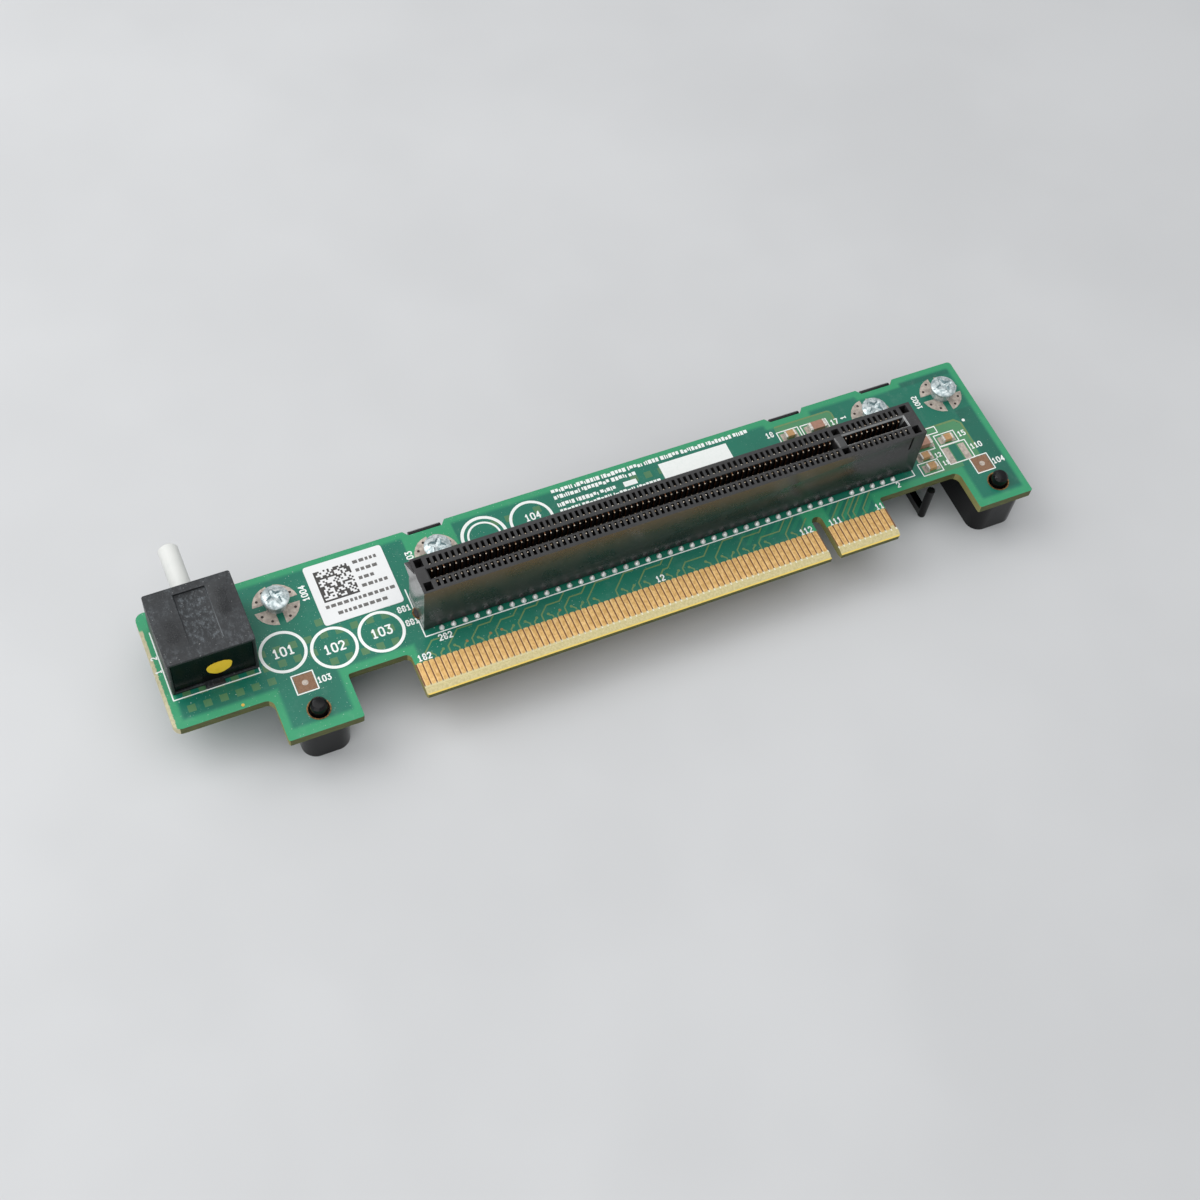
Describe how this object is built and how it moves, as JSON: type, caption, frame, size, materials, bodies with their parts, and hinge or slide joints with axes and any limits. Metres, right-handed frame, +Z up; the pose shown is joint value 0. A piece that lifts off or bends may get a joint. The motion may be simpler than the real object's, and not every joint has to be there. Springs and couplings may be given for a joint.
{
  "type": "pcie riser card",
  "caption": "Green riser card with a keyed gold card edge, a long upright card slot, a sprung push switch and a black moulded carrier with feet under it.",
  "frame": {"origin": "middle of the key notch at the mating edge of the card edge, half way through the board's thickness", "axes": "+X along the card towards its short end beside the key, +Y from the mating edge to the back edge, +Z up through the component side"},
  "size_m": [0.148, 0.0367, 0.021],
  "materials": {
    "board_laminate": "green solder mask over woven laminate, bare yellowish edges",
    "contact_gold": "thin gold plating",
    "copper": "bare copper",
    "tinned_copper": "dull tin",
    "screw_steel": "bright zinc",
    "housing_plastic": "black moulded plastic",
    "spring_contact": "plated spring metal",
    "solder": "shiny solder",
    "carrier_plastic": "black moulded plastic, glossy feet",
    "switch_plastic": "black moulded plastic",
    "cover_plastic": "black, smoother than the housing",
    "plunger_plastic": "off-white moulded plastic",
    "switch_brass": "plain brass",
    "spring_steel": "drawn wire",
    "tan_ceramic": "fired ceramic",
    "pink_ceramic": "fired ceramic",
    "chip_end_tin": "tin over silver",
    "label_paper": "matt white label stock"
  },
  "bodies": {
    "card": {"circuit_board": "board_laminate", "edge_contacts_top": "contact_gold", "edge_contacts_under": "contact_gold", "plated_holes": "copper", "ground_pads": "tinned_copper", "mounting_screws": "screw_steel", "slot_housing": "housing_plastic", "slot_contacts_front": "spring_contact", "slot_contacts_rear": "spring_contact", "solder_joints_front": "solder", "solder_joints_rear": "solder", "carrier": "carrier_plastic", "switch_housing": "switch_plastic", "switch_cover": "cover_plastic", "switch_return_spring": "spring_steel", "switch_terminals": "switch_brass", "small_capacitor_bodies": "tan_ceramic", "large_capacitor_bodies": "pink_ceramic", "capacitor_ends": "chip_end_tin", "tinned_pads": "tinned_copper", "label": "label_paper"},
    "plunger": {"switch_plunger": "plunger_plastic", "switch_contact_bridge": "switch_brass"}
  },
  "joints": [
    {"name": "plunger_press", "type": "slide", "parent": "card", "child": "plunger", "axis": [0, -1, 0], "range_m": [0, 0.003], "stiffness_N_per_m": 60, "springref_m": -0.004, "deforming": ["switch_return_spring"]}
  ]
}
